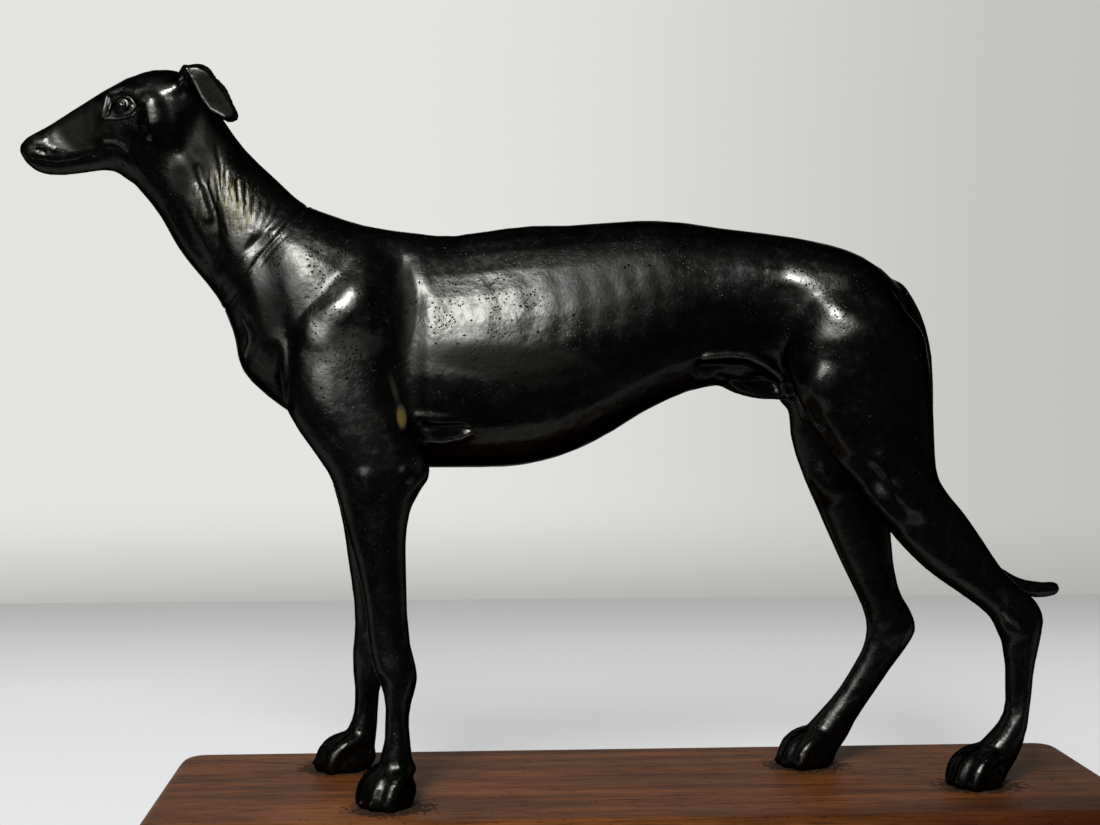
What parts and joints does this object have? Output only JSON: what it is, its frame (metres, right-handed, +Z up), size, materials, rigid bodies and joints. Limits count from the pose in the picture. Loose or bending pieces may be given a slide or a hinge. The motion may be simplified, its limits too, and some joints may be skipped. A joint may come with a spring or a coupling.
{
  "type": "greyhound statue",
  "caption": "Cast bronze greyhound with a flat collar, standing on all fours on a rectangular mahogany base with rounded edges.",
  "frame": {"origin": "middle of the wooden base's underside", "axes": "+X along the base towards the dog's tail, so the dog looks along -X; +Y towards the dog's right side; +Z up"},
  "size_m": [0.4855, 0.128, 0.3442],
  "materials": {
    "bronze": "dark brown-black patina, worn glossy",
    "mahogany": "satin, fine straight grain"
  },
  "bodies": {
    "root": {"greyhound": "bronze", "wooden_base": "mahogany"}
  },
  "joints": []
}
